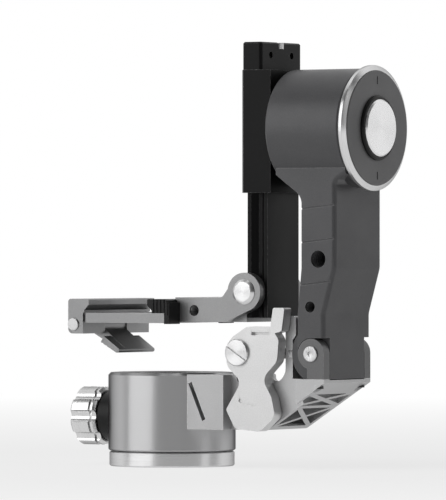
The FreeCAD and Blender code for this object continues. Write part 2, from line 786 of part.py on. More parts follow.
def axle_nut():
    start = outer_bearing_start + tilt_bearing_width
    nut = chamfered_rod("X", axle_nut_radius, start + 0.1, start + axle_nut_width, 0, tilt_z, 0.5)
    nut = nut.cut(rod("X", axle_end_radius + seat, start - 1, start + 6, 0, tilt_z))
    notches = [rod("X", 1.3, start + 2, start + 6, u, tilt_z + v) for u, v in ring_places(4, 9, 0)]
    return cut_all(nut, notches)


def rail_section(grow):
    """Rail outline seen from above: a flat bar with a vee groove down each side."""
    w = rail_half_width + grow
    groove = rail_groove
    middle = (rail_front + rail_back) / 2
    flat, mouth = 0.9 - grow, 0.9 + groove - grow
    half = [(rail_front - grow, w), (middle - mouth, w), (middle - flat, w - groove), (middle + flat, w - groove),
            (middle + mouth, w), (rail_back + grow, w)]
    return [(x, y, 0) for x, y in half] + [(x, -y, 0) for x, y in reversed(half)]


height_stud_x = (rail_front + rail_back) / 2


def clamp_block(y0, y1):
    body = block(clamp_front, clamp_back, y0, y1, clamp_bottom, rail_top)
    channel = top_profile(rail_section(slide_gap), clamp_bottom - 1, rail_top + 1)
    mouth = block(clamp_front - 1, rail_front + 0.5, -rail_half_width - slide_gap, rail_half_width + slide_gap,
                  clamp_bottom - 1, rail_top + 1)
    return cut_all(body, [channel, mouth])


jaw_screw_heights = (134.0, 179.0)
jaw_screw_x = (rail_back + clamp_back) / 2 + 0.1


def rail_clamp():
    body = clamp_block(-clamp_half_width, rail_half_width + slide_gap)
    spare = block(clamp_front - 1, rail_back + slide_gap, 0, clamp_half_width + 1, clamp_bottom - 1, rail_top + 1)
    body = body.cut(spare)
    edges = [edge for edge in body.Edges if len(edge.Vertexes) == 2
             and all(abs(v.Y + clamp_half_width) < 0.01 and abs(v.X - clamp_front) < 0.01 for v in edge.Vertexes)]
    body = body.makeChamfer(1.5, edges)
    cuts = flange_screw_tools(seat)
    cuts += [rod("Y", 1.5 + seat, 0, clamp_half_width, jaw_screw_x, z) for z in jaw_screw_heights]
    return cut_all(body, cuts)


def rail_jaw():
    inner = rail_half_width + slide_gap
    cheek = clamp_block(0, clamp_half_width)
    main = block(rail_back + slide_gap, clamp_back + 1, -1, inner, clamp_bottom - 1, rail_top + 1)
    jaw = cheek.cut(main)
    cuts = [rod("Y", height_stud_radius + running, 0, clamp_half_width + 1, height_stud_x, tilt_z)]
    for z in jaw_screw_heights:
        cuts.append(rod("Y", 1.5 + seat, 0, clamp_half_width + 1, jaw_screw_x, z))
        cuts.append(rod("Y", 2.0 + 0.1, clamp_half_width - 1.6, clamp_half_width + 1, jaw_screw_x, z))
    return cut_all(jaw, cuts)


def jaw_screws():
    screws = []
    for z in jaw_screw_heights:
        shank = rod("Y", 1.5, 4, clamp_half_width - 1, jaw_screw_x, z)
        head = rod("Y", 2.0, clamp_half_width - 1.6, clamp_half_width, jaw_screw_x, z)
        screws.append(fuse_all([shank, head]))
    return Part.makeCompound(screws)


pad_length = 2.1
pad_tip = rail_half_width - rail_groove + 0.15


def height_brake_pad():
    return Part.makeCone(0.75, height_stud_radius - gap, pad_length, Vector(height_stud_x, pad_tip, tilt_z),
                         Vector(0, 1, 0))


def height_knob():
    start = clamp_half_width + gap
    grip = lobed_knob("Y", height_knob_radius, 6, -start - height_knob_length, -start, height_stud_x, tilt_z,
                      height_stud_radius + seat)
    grip.rotate(Vector(height_stud_x, 0, tilt_z), Vector(0, 0, 1), 180)
    return grip


def height_knob_stud():
    end = clamp_half_width + gap + height_knob_length - 3
    return rod("Y", height_stud_radius, pad_tip + pad_length + 0.1, end, height_stud_x, tilt_z)


# Tilt knob: disc with a bright turned rim and a blank medallion.

disc_start = housing_outer + drag_washer
disc_end = disc_start + disc_thickness


def drag_washer_ring():
    return ring("X", housing_radius - 1.5, tilt_bearing_radius + 0.5, housing_outer, disc_start, 0, tilt_z)


def disc_rim_ring():
    r = disc_radius
    profile = [(disc_start, r - disc_rim), (disc_start, r - 0.6), (disc_start + 0.6, r), (disc_end - 1.6, r),
               (disc_end - 0.4, r - disc_rim + 0.4), (disc_end - 0.4, r - disc_rim)]
    return spun("X", profile, 0, tilt_z)


def tilt_disc():
    r = disc_radius - disc_rim - seat
    disc = spun("X", [(disc_start, 0), (disc_start, r), (disc_end - 0.3, r), (disc_end, r - 0.3), (disc_end, 0)],
                0, tilt_z)
    marks = []
    for side in (-1, 1):
        z = tilt_z + side * (r - 4.5)
        marks.append(block(disc_end - 0.5, disc_end + 1, -0.5, 0.5, z - 1.8, z + 1.8))
    bore = rod("X", axle_end_radius + running, disc_start - 1, axle_thread_end + 0.2, 0, tilt_z)
    return cut_all(disc, marks + [bore])


def medallion_bezel():
    profile = [(disc_end, medallion_radius), (disc_end, bezel_radius), (disc_end + bezel_rise * 0.6, bezel_radius),
               (disc_end + bezel_rise, bezel_radius - 0.7), (disc_end + bezel_rise, medallion_radius)]
    return spun("X", profile, 0, tilt_z)


def medallion():
    r = medallion_radius - seat
    return spun("X", [(disc_end, 0), (disc_end, r), (disc_end + medallion_rise - 0.7, r),
                      (disc_end + medallion_rise, r - 0.7), (disc_end + medallion_rise, 0)], 0, tilt_z)


# Height rail with its stop cap; the fold knuckle is part of the rail.

cap_screw_places = ((rail_front + 3, -6.5), (rail_front + 3, 6.5), (rail_back - 3, 0))


def height_rail():
    bar = top_profile(rail_section(0), rail_bottom, rail_top)
    knuckle = rod("Y", knuckle_radius, -rail_half_width, rail_half_width, fold_x, fold_z)
    rail = fuse_all([bar, knuckle])
    cuts = [rod("Y", fold_pin_radius + running, -rail_half_width - 1, rail_half_width + 1, fold_x, fold_z)]
    cuts += [rod("Z", 1.5 + seat, rail_top - 8, rail_top + 1, x, y) for x, y in cap_screw_places]
    return cut_all(rail, cuts)


def rail_stop_cap():
    w = stop_cap_half_width
    cap = top_profile([(rail_front - 0.5, -w, 1.5), (rail_back - 1, -w, 1.5), (rail_back - 1, w, 1.5),
                       (rail_front - 0.5, w, 1.5)], rail_top, rail_top + stop_cap_height)
    top_edges = [edge for edge in cap.Edges if all(v.Z > rail_top + stop_cap_height - 0.01 for v in edge.Vertexes)]
    cap = cap.makeChamfer(0.7, top_edges)
    cuts = []
    for x, y in cap_screw_places:
        cuts.append(rod("Z", 1.5 + seat, rail_top - 1, rail_top + 20, x, y))
        cuts.append(rod("Z", 2.8 + 0.1, rail_top + stop_cap_height - 3, rail_top + 20, x, y))
    for y in (-9, 9):
        cuts.append(rod("X", 1.6, rail_back - 2.5, rail_back + 1, y, rail_top + 7))
    return cut_all(cap, cuts)


def stop_cap_screws():
    screws = []
    top = rail_top + stop_cap_height - 0.3
    for x, y in cap_screw_places:
        shank = rod("Z", 1.5, rail_top - 8, top - 1, x, y)
        head = rod("Z", 2.8, top - 2.7, top, x, y).cut(rod("Z", 1.3, top - 1.4, top + 1, x, y))
        screws.append(fuse_all([shank, head]))
    return Part.makeCompound(screws)


# Folding platform

fold_ear_inner = rail_half_width + gap
fold_ear_outer = fold_ear_inner + fold_ear_thickness


def fold_ear(side):
    y0, y1 = sorted((side * fold_ear_inner, side * fold_ear_outer))
    eye = rod("Y", fold_ear_radius, y0, y1, fold_x, fold_z)
    neck = side_profile([(bar_start + 10, bar_bottom, 0), (fold_x - 10, bar_bottom, 8), (fold_x + 4, fold_z - 8, 0),
                         (fold_x, fold_z, 0), (fold_x - 7, fold_z + 4, 0), (fold_x - 12, bar_top, 3),
                         (bar_start + 10, bar_top, 0)], y0, y1)
    return fuse_all([eye, neck])


def platform_bar():
    w = fold_ear_outer
    beam = block(bar_start, rail_front - 0.3, -w, w, bar_bottom, bar_top)
    beam = beam.cut(block(fold_x - 12, rail_front + 1, -w - 1, -fold_ear_inner, bar_bottom - 1, bar_top + 1))
    beam = beam.cut(block(fold_x - 12, rail_front + 1, fold_ear_inner, w + 1, bar_bottom - 1, bar_top + 1))
    beam = beam.cut(rod("Y", knuckle_radius + gap + 0.1, -w, w, fold_x, fold_z))
    beam = beam.cut(block(fold_x - 2 - knuckle_radius, rail_front, -w, w, fold_z - knuckle_radius - 0.5, bar_top + 1))
    bar = fuse_all([beam, fold_ear(-1), fold_ear(1)])
    cuts = [rod("Y", fold_pin_radius + seat, -w - 1, w + 1, fold_x, fold_z)]
    for side in (-1, 1):
        y0, y1 = sorted((side * (w - bar_hole_depth), side * (w + 1)))
        cuts.append(rod("Y", bar_hole_radius, y0, y1, bar_hole_x, bar_hole_z))
    cuts += bed_screw_tools(seat)
    relief = top_profile([(bar_start + 16, -9, 3), (fold_x - 14, -9, 3), (fold_x - 14, 9, 3), (bar_start + 16, 9, 3)],
                         bar_bottom - 1, bar_bottom + 4)
    return cut_all(bar, cuts + [relief])


def bed_screw_tools(clearance):
    tools = []
    for y in (-bed_screw_y, bed_screw_y):
        tools.append(rod("X", bed_screw_radius + clearance, bed_screw_seat - 0.1, bed_screw_tip + clearance, y,
                         bed_screw_z))
        tools.append(rod("X", bed_screw_head + clearance, bed_screw_seat - bed_screw_head_height, bed_screw_seat, y,
                         bed_screw_z))
    return tools


def fold_pin():
    w = fold_ear_outer
    shank = rod("Y", fold_pin_radius, -w, w, fold_x, fold_z)
    head = spun("Y", [(-w - 1.4, 0), (-w - 1.4, fold_head_radius - 1.6), (-w - 0.8, fold_head_radius - 0.6),
                      (-w - 0.3, fold_head_radius), (-w, fold_head_radius), (-w, 0)], fold_x, fold_z)
    return fuse_all([shank, head])


def fold_nut():
    w = fold_ear_outer
    nut = chamfered_rod("Y", fold_head_radius, w, w + 2.0, fold_x, fold_z, 0.5)
    slot = block(fold_x - 8, fold_x + 8, w + 1.2, w + 3, fold_z - 0.6, fold_z + 0.6)
    return nut.cut(slot)


def jaw_outline(inward):
    """Jaw seen from the side: foot on the dovetail floor, slanted lip above; inward is +1 or -1 in X."""
    face_x = dovetail_x - inward * dovetail_half_width
    lip_x = face_x + inward * dovetail_lip
    return face_x, lip_x


def clamp_bed():
    length = bed_half_length
    bed = block(bed_left, bar_start, -length, length, bed_bottom, dovetail_floor)
    ends = [edge for edge in bed.Edges if len(edge.Vertexes) == 2
            and all(abs(v.X - bed_left) < 0.01 and abs(abs(v.Y) - length) < 0.01 for v in edge.Vertexes)]
    bed = bed.makeFillet(2.0, ends)
    cuts = bed_screw_tools(seat)
    for y in (-guide_y, guide_y):
        cuts.append(rod("X", guide_radius + running, bed_left - 1, bed_left + guide_length + 1, y, guide_z))
    cuts.append(rod("X", guide_radius + seat, bed_left - 1, bed_left + guide_length, 0, guide_z))
    trough = top_profile([(bed_left + 8, -9, 3), (dovetail_x + 10, -9, 3), (dovetail_x + 10, 9, 3),
                          (bed_left + 8, 9, 3)], dovetail_floor - 0.4, dovetail_floor + 1)
    cuts.append(trough)
    for y in (-bed_half_length + 7, bed_half_length - 7):
        cuts.append(rod("Z", 2.2, dovetail_floor - 1.5, dovetail_floor + 1, dovetail_x, y))
    return cut_all(bed, cuts)


def fixed_jaw():
    face_x, lip_x = jaw_outline(-1)
    length = bed_half_length
    jaw = side_profile([(face_x, dovetail_floor, 0), (fixed_jaw_back, dovetail_floor, 0),
                        (fixed_jaw_back, jaw_top, 1.2), (lip_x, jaw_top, 0.8), (lip_x, dovetail_floor + 3.8, 0.4),
                        (face_x, dovetail_floor + 1.2, 0)], -length, length)
    apron = block(bar_start, fixed_jaw_back + 1.6, -length, length, bed_bottom - 0.4, jaw_top - 1.5)
    bar_space = block(bar_start, fixed_jaw_back + 3, -fold_ear_outer - 0.05, fold_ear_outer + 0.05,
                      bed_bottom - 3, bar_top + 0.05)
    jaw = fuse_all([jaw.cut(bar_space), apron.cut(bar_space)])
    ribs = []
    for index in range(jaw_rib_count):
        x = face_x + 1.2 + index * jaw_rib_pitch
        for side in (-1, 1):
            ribs.append(rod("Z", 0.5, dovetail_floor - 1, jaw_top + 1, x, side * length))
    return cut_all(jaw, ribs)


def bed_screws():
    screws = []
    flats = block(bed_left, bar_start, -bed_half_length, bed_half_length, bed_bottom + 0.1, dovetail_floor - 0.1)
    for y in (-bed_screw_y, bed_screw_y):
        shank = rod("X", bed_screw_radius, bed_screw_seat, bed_screw_tip, y, bed_screw_z)
        head = rod("X", bed_screw_head, bed_screw_seat - bed_screw_head_height, bed_screw_seat, y, bed_screw_z)
        screws.append(fuse_all([shank, head.common(flats)]))
    return Part.makeCompound(screws)


def draw_bolt():
    return rod("X", guide_radius, flip_x + flip_cam_radius + 0.4, bed_left + guide_length, 0, guide_z)


jaw_gap = 0.2
jaw_inner = bed_left - jaw_gap
jaw_outer = dovetail_x - dovetail_half_width - moving_jaw_width
guide_start = flip_x + flip_pin_radius + gap


def moving_jaw():
    face_x, lip_x = jaw_outline(1)
    length = bed_half_length
    upper = side_profile([(jaw_inner, dovetail_floor + 0.15, 0), (face_x, dovetail_floor + 0.15, 0),
                          (face_x, dovetail_floor + 1.2, 0), (lip_x, dovetail_floor + 3.8, 0.4),
                          (lip_x, jaw_top, 0.8), (jaw_outer, jaw_top, 1.5), (jaw_outer, dovetail_floor, 0),
                          (jaw_inner, dovetail_floor, 0)], -length, length)
    lower = block(jaw_outer, jaw_inner, -length, length, flip_z - 4.4, dovetail_floor + 1)
    jaw = fuse_all([upper, lower])
    ends = [edge for edge in jaw.Edges if len(edge.Vertexes) == 2
            and all(abs(v.X - jaw_outer) < 0.01 and abs(v.Z - (flip_z - 4.4)) < 0.01 for v in edge.Vertexes)]
    jaw = jaw.makeFillet(2.5, ends)
    slot = block(jaw_outer - 1, jaw_inner + 1, -flip_half_width - gap, flip_half_width + gap,
                 flip_z - 6, flip_z + flip_cam_radius + gap)
    cuts = [slot, rod("Y", flip_pin_radius + seat, -length - 1, length + 1, flip_x, flip_z)]
    for y in (-guide_y, guide_y):
        cuts.append(rod("X", guide_radius + seat, guide_start, jaw_inner + 1, y, guide_z))
    return cut_all(jaw, cuts)


def jaw_guide_pins():
    pins = [rod("X", guide_radius, guide_start, bed_left + guide_length, y, guide_z) for y in (-guide_y, guide_y)]
    return Part.makeCompound(pins)


def flip_pin():
    end = bed_half_length
    shank = rod("Y", flip_pin_radius, -end, end, flip_x, flip_z)
    heads = [chamfered_rod("Y", flip_pin_radius + 1.0, -end - 0.8, -end, flip_x, flip_z, 0.3),
             chamfered_rod("Y", flip_pin_radius + 1.0, end, end + 0.8, flip_x, flip_z, 0.3)]
    return fuse_all([shank] + heads)


def clamp_lever():
    w = flip_half_width
    hub = rod("Y", flip_cam_radius, -w, w, 0, 0)
    paddle = side_profile([(0, -flip_cam_radius, 0), (flip_length, -3.6, 1.6), (flip_length + 1.5, -1.4, 1),
                           (flip_cam_radius + 1, 0.4, 2), (0, 0.4, 0)], -w, w)
    flare_pad = side_profile([(flip_length - 10.5, -3.9, 0), (flip_length, -3.6, 1.6), (flip_length + 1.5, -1.4, 1),
                              (flip_length - 10.5, -0.6, 0)], -w - 6, w + 6)
    grips = [rod("Y", 0.6, -w - 7, w + 7, flip_length - 2 - 2.4 * index, -4.2) for index in range(4)]
    bore = rod("Y", flip_pin_radius + running, -w - 1, w + 1, 0, 0)
    lever = cut_all(fuse_all([hub, paddle, flare_pad]), grips + [bore])
    lever.rotate(Vector(0, 0, 0), Vector(0, 1, 0), flip_angle)
    lever.translate(Vector(flip_x, 0, flip_z))
    return lever


nodes = {
    "base_plate": base_plate,
    "tripod_socket": tripod_socket,
    "pan_spindle": pan_spindle,
    "spindle_screws": spindle_screws,
    "thrust_bearing": thrust_bearing,
    "slip_washer": slip_washer,
    "spindle_nut": spindle_nut,
    "pan_housing": pan_housing,
    "pan_cap": pan_cap,
    "brake_shoe": brake_shoe,
    "knob_collar": knob_collar,
    "root_bracket": root_bracket,
    "bracket_screws": bracket_screws,
    "hinge_ears": hinge_ears,
    "ear_screws": ear_screws,
    "lever_pin": lever_pin,
    "hinge_pin": hinge_pin,
    "hinge_nut": hinge_nut,
    "lock_plunger": lock_plunger,
    "pan_knob": pan_knob,
    "pan_knob_stud": pan_knob_stud,
    "lock_lever": lock_lever,
    "main_arm": main_arm,
    "tilt_housing": tilt_housing,
    "hinge_bushes": hinge_bushes,
    "tilt_bearing_inner": lambda: tilt_bearing(inner_bearing_start),
    "tilt_bearing_outer": lambda: tilt_bearing(outer_bearing_start),
    "tilt_axle": tilt_axle,
    "flange_screws": flange_screws,
    "bearing_spacer": bearing_spacer,
    "axle_nut": axle_nut,
    "rail_clamp": rail_clamp,
    "rail_jaw": rail_jaw,
    "jaw_screws": jaw_screws,
    "height_brake_pad": height_brake_pad,
    "height_knob": height_knob,
    "height_knob_stud": height_knob_stud,
    "drag_washer": drag_washer_ring,
    "disc_rim": disc_rim_ring,
    "tilt_disc": tilt_disc,
    "medallion_bezel": medallion_bezel,
    "medallion": medallion,
    "height_rail": height_rail,
    "rail_stop_cap": rail_stop_cap,
    "stop_cap_screws": stop_cap_screws,
    "platform_bar": platform_bar,
    "fold_pin": fold_pin,
    "fold_nut": fold_nut,
    "clamp_bed": clamp_bed,
    "fixed_jaw": fixed_jaw,
    "bed_screws": bed_screws,
    "draw_bolt": draw_bolt,
    "moving_jaw": moving_jaw,
    "jaw_guide_pins": jaw_guide_pins,
    "flip_pin": flip_pin,
    "clamp_lever": clamp_lever,
}

os.makedirs("parts", exist_ok=True)
for name, make in nodes.items():
    shape = make()
    shape.exportStep(f"parts/{name}.step")
    print(f"{name}: {len(shape.Solids)} solids, {shape.Volume:.0f} mm3, valid {shape.isValid()}")
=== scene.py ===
import bpy
import json
import math
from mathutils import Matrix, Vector


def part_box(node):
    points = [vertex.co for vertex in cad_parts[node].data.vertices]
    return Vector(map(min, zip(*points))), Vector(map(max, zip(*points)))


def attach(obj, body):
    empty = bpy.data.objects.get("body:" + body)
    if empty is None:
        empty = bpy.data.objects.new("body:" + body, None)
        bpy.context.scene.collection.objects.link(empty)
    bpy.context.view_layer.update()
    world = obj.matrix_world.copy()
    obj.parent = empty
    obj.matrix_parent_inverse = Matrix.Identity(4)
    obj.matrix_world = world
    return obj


# Looks for a folding gimbal head. Metres, +Z up; the platform points to -X and the arm stands at +X.

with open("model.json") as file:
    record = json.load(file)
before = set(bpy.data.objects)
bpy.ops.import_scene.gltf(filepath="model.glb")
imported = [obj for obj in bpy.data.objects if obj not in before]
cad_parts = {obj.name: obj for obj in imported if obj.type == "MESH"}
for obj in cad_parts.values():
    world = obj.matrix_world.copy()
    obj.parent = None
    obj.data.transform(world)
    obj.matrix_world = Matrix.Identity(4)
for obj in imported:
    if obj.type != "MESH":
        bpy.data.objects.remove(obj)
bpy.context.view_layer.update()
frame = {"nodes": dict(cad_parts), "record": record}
nodes = frame["nodes"]
print("frame loaded:", len(nodes), "nodes")

mm = 0.001


def middle(node):
    low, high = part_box(node)
    return [(a + b) / 2 for a, b in zip(low, high)]


def grey(value, cool=0.0):
    return (value, value, value + cool)


# Small helpers for node trees

def addNode(tree, kind, **values):
    node = tree.nodes.new(kind)
    for key, value in values.items():
        setattr(node, key, value)
    return node


def feed(tree, source, socket):
    if isinstance(source, bpy.types.NodeSocket):
        tree.links.new(source, socket)
    else:
        socket.default_value = source


def maths(tree, operation, first, second, clamp=False):
    node = addNode(tree, "ShaderNodeMath", operation=operation, use_clamp=clamp)
    feed(tree, first, node.inputs[0])
    feed(tree, second, node.inputs[1])
    return node.outputs[0]


def vectorMaths(tree, operation, first, second=None):
    node = addNode(tree, "ShaderNodeVectorMath", operation=operation)
    feed(tree, first, node.inputs[0])
    if second is not None:
        feed(tree, second, node.inputs[1])
    return node.outputs["Value" if operation in ("LENGTH", "DOT_PRODUCT") else "Vector"]


def noise(tree, vector, scale, detail, roughness):
    node = addNode(tree, "ShaderNodeTexNoise")
    feed(tree, vector, node.inputs["Vector"])
    feed(tree, scale, node.inputs["Scale"])
    node.inputs["Detail"].default_value = detail
    node.inputs["Roughness"].default_value = roughness
    return node.outputs["Fac"]


def spread(tree, value, low, high, outLow=0.0, outHigh=1.0):
    node = addNode(tree, "ShaderNodeMapRange")
    feed(tree, value, node.inputs["Value"])
    node.inputs["From Min"].default_value = low
    node.inputs["From Max"].default_value = high
    feed(tree, outLow, node.inputs["To Min"])
    feed(tree, outHigh, node.inputs["To Max"])
    return node.outputs["Result"]


# Weighted sum of two values; part is how much of the second goes in
def mixValues(tree, first, second, part):
    kept = maths(tree, "MULTIPLY", first, 1 - part)
    return maths(tree, "ADD", kept, maths(tree, "MULTIPLY", second, part))


# Every group takes a Vector and named numbers, and gives out named values
def newGroup(name, numbers, results):
    tree = bpy.data.node_groups.new(name, "ShaderNodeTree")
    tree.interface.new_socket(name="Vector", in_out="INPUT", socket_type="NodeSocketVector")
    for label, value in numbers.items():
        socket = tree.interface.new_socket(name=label, in_out="INPUT", socket_type="NodeSocketFloat")
        socket.default_value = value
    for label in results:
        tree.interface.new_socket(name=label, in_out="OUTPUT", socket_type="NodeSocketFloat")
    return tree, tree.nodes.new("NodeGroupInput").outputs, tree.nodes.new("NodeGroupOutput").inputs


def useGroup(tree, group, **values):
    node = addNode(tree, "ShaderNodeGroup", node_tree=group)
    for label, value in values.items():
        feed(tree, value, node.inputs[label])
    return node.outputs


# Blasted grain: fine pits from bead blasting, over a faint broad cloud

grainLook = {"scale": 3000.0, "detail": 3.0, "break": 0.6,
             "cloudScale": 60.0, "cloudDetail": 3.0, "cloudBreak": 0.55, "cloudShare": 0.25}


def makeBlastedGrain():
    look = grainLook
    tree, source, result = newGroup("blastedGrain", {"Scale": look["scale"]}, ("Value", "Height"))
    fine = noise(tree, source["Vector"], source["Scale"], look["detail"], look["break"])
    cloud = noise(tree, source["Vector"], look["cloudScale"], look["cloudDetail"], look["cloudBreak"])
    feed(tree, mixValues(tree, fine, cloud, look["cloudShare"]), result["Value"])
    feed(tree, fine, result["Height"])
    return tree


# Turned rings: tool marks that run round Z, on the faces and on the sides

ringLook = {"pitch": 0.3 * mm, "along": 1.6, "detail": 3.0, "break": 0.62,
            "bandScale": 0.06, "bandDetail": 2.0, "bandBreak": 0.5, "bandShare": 0.3}


def makeTurnedRings():
    look = ringLook
    tree, source, result = newGroup("turnedRings", {"Pitch": look["pitch"]}, ("Value", "Height"))
    split = addNode(tree, "ShaderNodeSeparateXYZ")
    feed(tree, source["Vector"], split.inputs[0])
    x, y, z = split.outputs
    square = maths(tree, "ADD", maths(tree, "MULTIPLY", x, x), maths(tree, "MULTIPLY", y, y))
    radius = maths(tree, "POWER", square, 0.5)
    track = addNode(tree, "ShaderNodeCombineXYZ")
    feed(tree, maths(tree, "DIVIDE", maths(tree, "ADD", radius, z), source["Pitch"]), track.inputs[0])
    feed(tree, maths(tree, "MULTIPLY", maths(tree, "ARCTAN2", y, x), look["along"]), track.inputs[1])
    tool = noise(tree, track.outputs[0], 1.0, look["detail"], look["break"])
    band = noise(tree, track.outputs[0], look["bandScale"], look["bandDetail"], look["bandBreak"])
    feed(tree, mixValues(tree, tool, band, look["bandShare"]), result["Value"])
    feed(tree, tool, result["Height"])
    return tree


# Brushed streaks: short marks along Z

streakLook = {"fineness": 2500.0, "stretch": (1.0, 1.0, 0.02), "detail": 2.0, "break": 0.6}


def makeBrushedStreaks():
    look = streakLook
    tree, source, result = newGroup("brushedStreaks", {"Fineness": look["fineness"]}, ("Value",))
    drawn = vectorMaths(tree, "MULTIPLY", source["Vector"], look["stretch"])
    feed(tree, noise(tree, drawn, source["Fineness"], look["detail"], look["break"]), result["Value"])
    return tree


# Edge wear: where the rounded normal leaves the flat one, broken up by noise

edgeLook = {"radius": 0.4 * mm, "samples": 6, "flat": 0.995, "sharp": 0.86,
            "patchScale": 900.0, "patchDetail": 4.0, "patchBreak": 0.65,
            "patchLow": 0.36, "patchHigh": 0.62}


def makeEdgeWear():
    look = edgeLook
    tree, source, result = newGroup("edgeWear", {"Radius": look["radius"]}, ("Mask",))
    bevel = addNode(tree, "ShaderNodeBevel", samples=look["samples"])
    feed(tree, source["Radius"], bevel.inputs["Radius"])
    surface = addNode(tree, "ShaderNodeNewGeometry")
    lean = vectorMaths(tree, "DOT_PRODUCT", bevel.outputs[0], surface.outputs["Normal"])
    edge = spread(tree, lean, look["flat"], look["sharp"])
    patch = noise(tree, source["Vector"], look["patchScale"], look["patchDetail"], look["patchBreak"])
    broken = spread(tree, patch, look["patchLow"], look["patchHigh"])
    feed(tree, maths(tree, "MULTIPLY", edge, broken, clamp=True), result["Mask"])
    return tree


# Handling: broad smudges, and sparse drawn-out scuffs

handlingLook = {"smudgeScale": 38.0, "smudgeDetail": 4.0, "smudgeBreak": 0.6, "stretch": (1.0, 0.25, 0.4),
                "scuffScale": 1400.0, "scuffDetail": 5.0, "scuffBreak": 0.72,
                "scuffLow": 0.66, "scuffHigh": 0.74}


def makeHandling():
    look = handlingLook
    tree, source, result = newGroup("handling", {}, ("Value", "Scuff"))
    smudge = noise(tree, source["Vector"], look["smudgeScale"], look["smudgeDetail"], look["smudgeBreak"])
    drawn = vectorMaths(tree, "MULTIPLY", source["Vector"], look["stretch"])
    scuff = noise(tree, drawn, look["scuffScale"], look["scuffDetail"], look["scuffBreak"])
    feed(tree, smudge, result["Value"])
    feed(tree, spread(tree, scuff, look["scuffLow"], look["scuffHigh"]), result["Scuff"])
    return tree


blastedGrain = makeBlastedGrain()
turnedRings = makeTurnedRings()
brushedStreaks = makeBrushedStreaks()
edgeWear = makeEdgeWear()
handling = makeHandling()
print("shared effects made")


# Materials

def newMaterial(name):
    material = bpy.data.materials.new(name)
    material.use_nodes = True
    tree = material.node_tree
    place = addNode(tree, "ShaderNodeTexCoord").outputs["Object"]
    return material, tree, tree.nodes["Principled BSDF"], place


def tint(tree, base, light, amount, factor):
    mix = addNode(tree, "ShaderNodeMix", data_type="RGBA", blend_type="MIX")
    feed(tree, maths(tree, "MULTIPLY", factor, amount, clamp=True), mix.inputs["Factor"])
    if isinstance(base, bpy.types.NodeSocket):
        feed(tree, base, mix.inputs["A"])
    else:
        mix.inputs["A"].default_value = (*base, 1)
    mix.inputs["B"].default_value = (*light, 1)
    return mix.outputs["Result"]


def addRelief(tree, shader, height, distance, strength):
    bump = addNode(tree, "ShaderNodeBump")
    bump.inputs["Distance"].default_value = distance
    bump.inputs["Strength"].default_value = strength
    feed(tree, height, bump.inputs["Height"])
    feed(tree, bump.outputs[0], shader.inputs["Normal"])


# Colours are plain linear values. Each look gives a base, a paler speck and a worn edge.
# Bead-blasted and anodised or painted metal

anodisedRange = {"speckLow": 0.38, "speckHigh": 0.64, "smudgeLow": 0.3, "smudgeHigh": 0.7,
                 "smoother": 0.05, "rougher": 0.06, "polish": 0.1, "relief": 0.5}
anodisedLooks = {
    "dark_anodised": {
        "colour": grey(0.008, 0.0005), "pale": grey(0.03), "worn": grey(0.25), "speck": 0.3, "scuff": 0.12,
        "wear": 0.3, "metal": 0.0, "shine": 0.2, "rough": 0.36, "grain": 3200.0, "edge": 0.3 * mm,
        "depth": 0.012 * mm},
    "black_anodised": {
        "colour": grey(0.003, 0.0003), "pale": grey(0.012), "worn": grey(0.4), "speck": 0.25, "scuff": 0.1,
        "wear": 0.6, "metal": 0.0, "shine": 0.12, "rough": 0.36, "grain": 3200.0, "edge": 0.3 * mm,
        "depth": 0.012 * mm},
    "bright_bracket": {
        "colour": grey(0.45, 0.004), "pale": grey(0.62), "worn": grey(0.92), "speck": 0.35, "scuff": 0.1,
        "wear": 0.6, "metal": 0.7, "shine": 0.5, "rough": 0.44, "grain": 2200.0, "edge": 0.4 * mm,
        "depth": 0.03 * mm},
    # The lock lever is cast and tumbled, paler than the bracket that carries it
    "lever_bright": {
        "colour": grey(0.66), "pale": grey(0.86), "worn": grey(0.96), "speck": 0.4, "scuff": 0.1,
        "wear": 0.6, "metal": 0.6, "shine": 0.5, "rough": 0.4, "grain": 1800.0, "edge": 0.4 * mm,
        "depth": 0.04 * mm},
    "arm_grey": {
        "colour": grey(0.15, 0.003), "pale": grey(0.24), "worn": grey(0.55), "speck": 0.3, "scuff": 0.1,
        "wear": 0.4, "metal": 0.3, "shine": 0.35, "rough": 0.4, "grain": 2600.0, "edge": 0.35 * mm,
        "depth": 0.02 * mm},
    "arm_charcoal": {
        "colour": grey(0.085, 0.004), "pale": grey(0.15), "worn": grey(0.45), "speck": 0.3, "scuff": 0.1,
        "wear": 0.4, "metal": 0.25, "shine": 0.3, "rough": 0.4, "grain": 2600.0, "edge": 0.35 * mm,
        "depth": 0.02 * mm},
    "disc_charcoal": {
        "colour": grey(0.14, 0.003), "pale": grey(0.22), "worn": grey(0.5), "speck": 0.3, "scuff": 0.08,
        "wear": 0.3, "metal": 0.25, "shine": 0.3, "rough": 0.42, "grain": 2600.0, "edge": 0.3 * mm,
        "depth": 0.015 * mm},
    "platform_grey": {
        "colour": grey(0.27, 0.003), "pale": grey(0.4), "worn": grey(0.75), "speck": 0.35, "scuff": 0.12,
        "wear": 0.5, "metal": 0.7, "shine": 0.5, "rough": 0.36, "grain": 2400.0, "edge": 0.35 * mm,
        "depth": 0.02 * mm},
}


